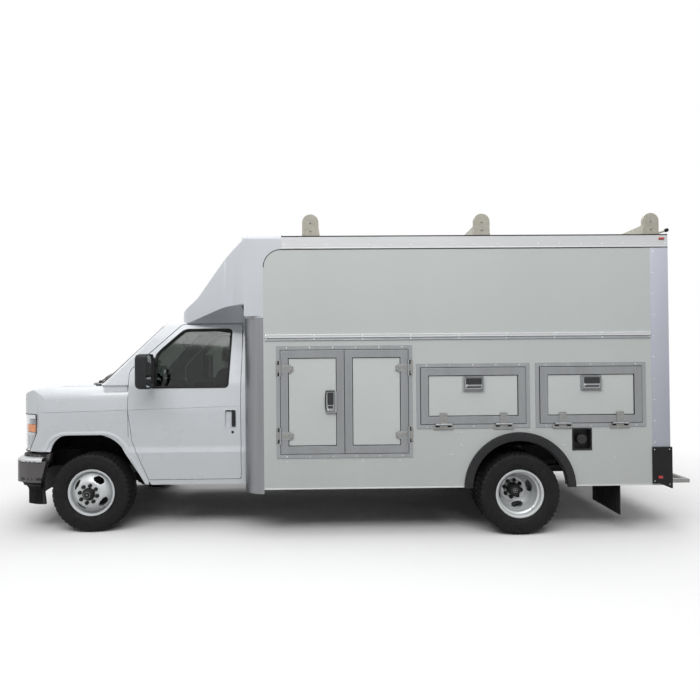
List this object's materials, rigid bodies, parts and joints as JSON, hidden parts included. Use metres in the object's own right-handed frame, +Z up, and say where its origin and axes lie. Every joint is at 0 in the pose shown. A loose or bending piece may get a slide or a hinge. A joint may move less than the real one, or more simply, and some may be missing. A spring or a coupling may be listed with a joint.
{
  "type": "cutaway service body van",
  "caption": "Cutaway van with an enclosed walk-in service body, side lockers, roof ladder rack and rear step; doors, flaps, hood, steering and wheels move",
  "frame": {"origin": "on the floor, in the middle of the overall length and width", "axes": "-X front, +X rear, -Y driver's side, +Z up"},
  "size_m": [6.538, 2.55, 2.955],
  "materials": {
    "white_paint": "satin white paint",
    "wall_white": "white prepainted sheet",
    "aluminium": "extruded and sheet aluminium",
    "black_plastic": "moulded black plastic",
    "glass": "tinted safety glass",
    "rubber": "black rubber",
    "tyre": "road tyre",
    "wheel_paint": "white painted steel wheel",
    "chassis_black": "black chassis paint",
    "cast_iron": "cast housings",
    "lamp": "clear lamp lens",
    "tail_lamp": "black lamp housing",
    "grille": "painted grille",
    "bumper": "grey painted bumper",
    "liner": "wheel liner",
    "galvanised": "galvanised steel",
    "floor": "chequer floor sheet",
    "fabric": "grey seat cloth",
    "interior": "grey cab trim",
    "fibreglass": "white gel coat"
  },
  "bodies": {
    "chassis": {"frame": "chassis_black", "powertrain": "cast_iron", "fuel_tank": "chassis_black", "exhaust": "galvanised", "front_axle": "cast_iron", "rear_axle": "cast_iron", "cab_shell": "white_paint", "windshield": "glass", "fenders": "white_paint", "grille": "grille", "headlamps": "lamp", "front_bumper": "bumper", "air_dam": "black_plastic", "wheel_houses": "liner", "body_floor": "floor", "body_sides": "wall_white", "body_roof": "aluminium", "corner_posts": "aluminium", "lockers": "aluminium", "locker_frames": "aluminium", "rear_frame": "wall_white", "arch_flares": "black_plastic", "fuel_filler": "black_plastic", "tail_lamps": "tail_lamp", "mud_flaps": "rubber", "cab_cap": "fibreglass", "roof_rack": "galvanised", "rear_bumper": "galvanised", "seats": "fabric", "seat_pedestals": "chassis_black", "dashboard": "interior"},
    "hood": {"hood": "white_paint"},
    "door_left": {"door_left": "white_paint", "door_glass_left": "glass", "mirror_left": "black_plastic"},
    "tall_front_left": {"tall_front_left": "aluminium"},
    "tall_rear_left": {"tall_rear_left": "aluminium"},
    "mid_flap_left": {"mid_flap_left": "aluminium"},
    "aft_flap_left": {"aft_flap_left": "aluminium"},
    "rear_door_left": {"rear_door_left": "wall_white", "rear_glass_left": "glass"},
    "knuckle_left": {"knuckle_left": "cast_iron"},
    "wheel_front_left": {"wheel_front_left": "wheel_paint", "tyre_front_left": "tyre"},
    "wheels_rear_left": {"wheels_rear_left": "wheel_paint", "tyres_rear_left": "tyre"},
    "door_right": {"door_right": "white_paint", "door_glass_right": "glass", "mirror_right": "black_plastic"},
    "tall_front_right": {"tall_front_right": "aluminium"},
    "tall_rear_right": {"tall_rear_right": "aluminium"},
    "mid_flap_right": {"mid_flap_right": "aluminium"},
    "aft_flap_right": {"aft_flap_right": "aluminium"},
    "rear_door_right": {"rear_door_right": "wall_white", "rear_glass_right": "glass"},
    "knuckle_right": {"knuckle_right": "cast_iron"},
    "wheel_front_right": {"wheel_front_right": "wheel_paint", "tyre_front_right": "tyre"},
    "wheels_rear_right": {"wheels_rear_right": "wheel_paint", "tyres_rear_right": "tyre"}
  },
  "joints": [
    {"name": "hood_lift", "type": "hinge", "parent": "chassis", "child": "hood", "pos_m": [-2.329, 0, 1.33], "axis": [0, 1, 0], "range_deg": [0, 48]},
    {"name": "door_left_swing", "type": "hinge", "parent": "chassis", "child": "door_left", "pos_m": [-1.975, -0.986, 1.1], "axis": [0, 0, -1], "range_deg": [0, 57]},
    {"name": "tall_front_left_swing", "type": "hinge", "parent": "chassis", "child": "tall_front_left", "pos_m": [-0.56, -1.243, 1.235], "axis": [0, 0, -1], "range_deg": [0, 90]},
    {"name": "tall_rear_left_swing", "type": "hinge", "parent": "chassis", "child": "tall_rear_left", "pos_m": [0.607, -1.243, 1.235], "axis": [0, 0, 1], "range_deg": [0, 90]},
    {"name": "mid_flap_left_drop", "type": "hinge", "parent": "chassis", "child": "mid_flap_left", "pos_m": [1.2005, -1.243, 1.019], "axis": [1, 0, 0], "range_deg": [0, 90]},
    {"name": "aft_flap_left_drop", "type": "hinge", "parent": "chassis", "child": "aft_flap_left", "pos_m": [2.2835, -1.243, 1.019], "axis": [1, 0, 0], "range_deg": [0, 90]},
    {"name": "rear_door_left_swing", "type": "hinge", "parent": "chassis", "child": "rear_door_left", "pos_m": [3.039, -0.697, 1.69], "axis": [0, 0, -1], "range_deg": [0, 180]},
    {"name": "steer_left", "type": "hinge", "parent": "chassis", "child": "knuckle_left", "pos_m": [-2.389, -0.772, 0.372], "axis": [0, 0, 1], "range_deg": [-33, 33]},
    {"name": "wheel_front_left_spin", "type": "hinge", "parent": "knuckle_left", "child": "wheel_front_left", "pos_m": [-2.389, -0.8815, 0.372], "axis": [0, 1, 0], "continuous": true},
    {"name": "wheels_rear_left_spin", "type": "hinge", "parent": "chassis", "child": "wheels_rear_left", "pos_m": [1.624, -0.988, 0.372], "axis": [0, 1, 0], "continuous": true},
    {"name": "door_right_swing", "type": "hinge", "parent": "chassis", "child": "door_right", "pos_m": [-1.975, 0.986, 1.1], "axis": [0, 0, 1], "range_deg": [0, 57]},
    {"name": "tall_front_right_swing", "type": "hinge", "parent": "chassis", "child": "tall_front_right", "pos_m": [-0.56, 1.243, 1.235], "axis": [0, 0, 1], "range_deg": [0, 90]},
    {"name": "tall_rear_right_swing", "type": "hinge", "parent": "chassis", "child": "tall_rear_right", "pos_m": [0.607, 1.243, 1.235], "axis": [0, 0, -1], "range_deg": [0, 90]},
    {"name": "mid_flap_right_drop", "type": "hinge", "parent": "chassis", "child": "mid_flap_right", "pos_m": [1.2005, 1.243, 1.019], "axis": [-1, 0, 0], "range_deg": [0, 90]},
    {"name": "aft_flap_right_drop", "type": "hinge", "parent": "chassis", "child": "aft_flap_right", "pos_m": [2.2835, 1.243, 1.019], "axis": [-1, 0, 0], "range_deg": [0, 90]},
    {"name": "rear_door_right_swing", "type": "hinge", "parent": "chassis", "child": "rear_door_right", "pos_m": [3.039, 0.697, 1.69], "axis": [0, 0, 1], "range_deg": [0, 180]},
    {"name": "steer_right", "type": "hinge", "parent": "chassis", "child": "knuckle_right", "pos_m": [-2.389, 0.772, 0.372], "axis": [0, 0, 1], "range_deg": [-33, 33]},
    {"name": "wheel_front_right_spin", "type": "hinge", "parent": "knuckle_right", "child": "wheel_front_right", "pos_m": [-2.389, 0.8815, 0.372], "axis": [0, 1, 0], "continuous": true},
    {"name": "wheels_rear_right_spin", "type": "hinge", "parent": "chassis", "child": "wheels_rear_right", "pos_m": [1.624, 0.988, 0.372], "axis": [0, 1, 0], "continuous": true}
  ],
  "couplings": [
    {"joint": "steer_right", "follows": "steer_left", "ratio": 1}
  ]
}
